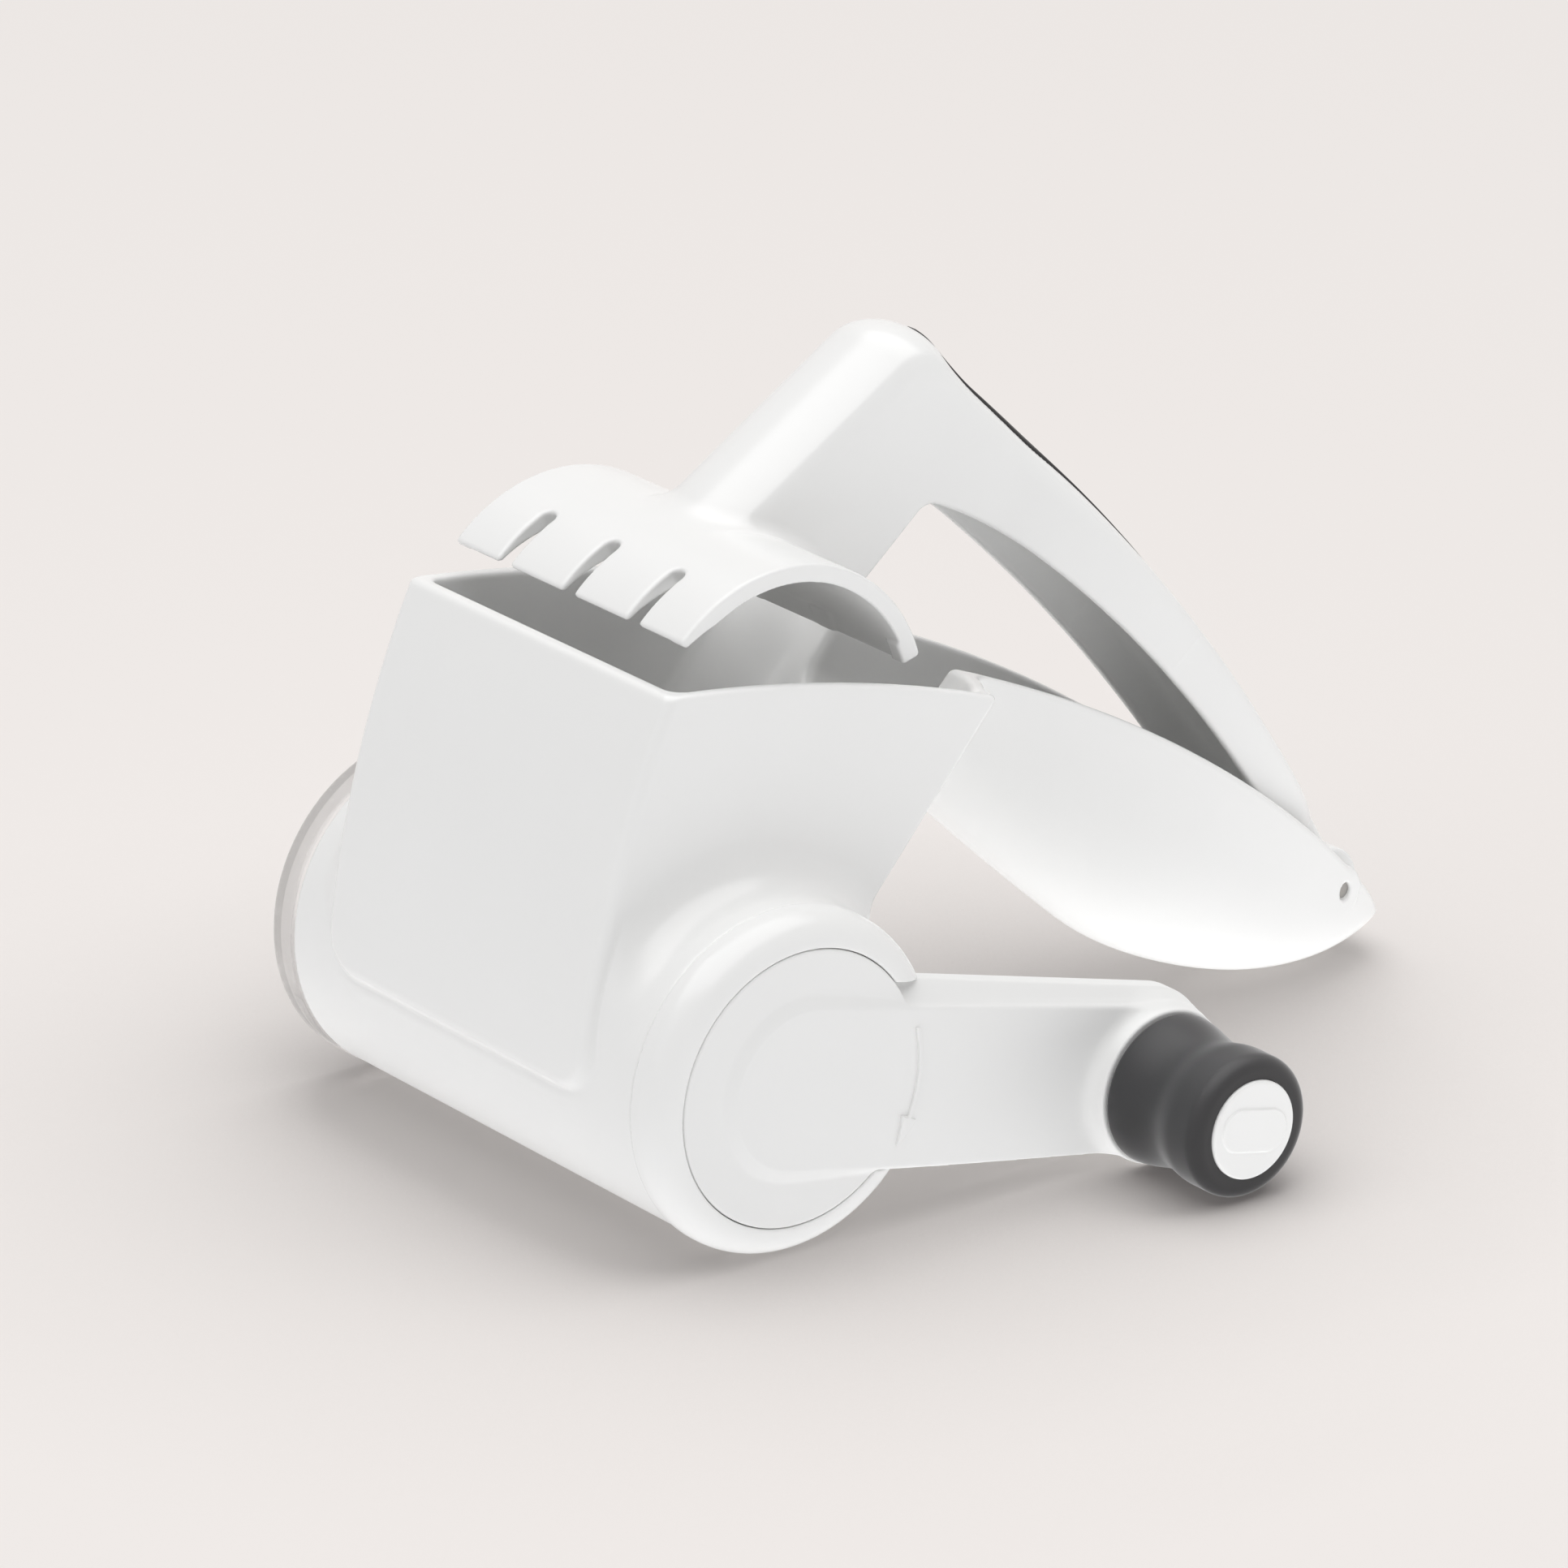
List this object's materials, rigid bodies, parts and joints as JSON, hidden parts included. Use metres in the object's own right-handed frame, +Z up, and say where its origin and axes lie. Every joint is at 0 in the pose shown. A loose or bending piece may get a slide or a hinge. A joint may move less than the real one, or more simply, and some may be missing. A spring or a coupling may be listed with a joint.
{
  "type": "cheese grater",
  "caption": "Hand-cranked rotary grater: a hopper body with a trough handle, a hinged press arm with an arched plate, a perforated drum and a crank with a soft spinning knob.",
  "frame": {"origin": "centre of the drum's open mouth, on the drum's axis in the outer face of the mouth ring", "axes": "+Y along the drum's axis out of its open mouth, +X towards the tail of the handle, +Z up as the grater stands"},
  "size_m": [0.207, 0.1402, 0.142],
  "materials": {
    "body_plastic": "smooth glossy white moulding",
    "arm_plastic": "smooth glossy white moulding",
    "grip_rubber": "soft matte black strip",
    "pin_steel": "drawn steel pin",
    "drum_steel": "stainless sheet rolled round and pierced",
    "clear_plastic": "clear glossy moulding",
    "hub_plastic": "smooth white moulding",
    "crank_rim_plastic": "smooth glossy white moulding",
    "crank_plastic": "fine satin face with glossy edges",
    "core_plastic": "plain white moulding",
    "sleeve_rubber": "soft-touch dark grey",
    "cap_plastic": "glossy white disc with a bare raised pad",
    "screw_steel": "zinc plated screw"
  },
  "bodies": {
    "body": {"housing": "body_plastic", "hinge_pin": "pin_steel"},
    "arm": {"press_arm": "arm_plastic", "arm_grip": "grip_rubber"},
    "crank": {"crank_hub": "crank_rim_plastic", "crank_arm": "crank_plastic", "drum_tube": "drum_steel", "drum_flange": "clear_plastic", "drum_hub": "hub_plastic", "knob_screw": "screw_steel"},
    "knob": {"knob_core": "core_plastic", "knob_sleeve": "sleeve_rubber", "knob_cap": "cap_plastic"}
  },
  "joints": [
    {"name": "crank_spin", "type": "hinge", "parent": "body", "child": "crank", "pos_m": [0, -0.0556, 0], "axis": [0, -1, 0], "continuous": true},
    {"name": "knob_spin", "type": "hinge", "parent": "crank", "child": "knob", "pos_m": [0.07737, -0.1256, -0.01645], "axis": [0, -1, 0], "continuous": true},
    {"name": "arm_lift", "type": "hinge", "parent": "body", "child": "arm", "pos_m": [0.1597, -0.0556, -0.0134], "axis": [0, 1, 0], "range_deg": [-19.2, 60]}
  ]
}
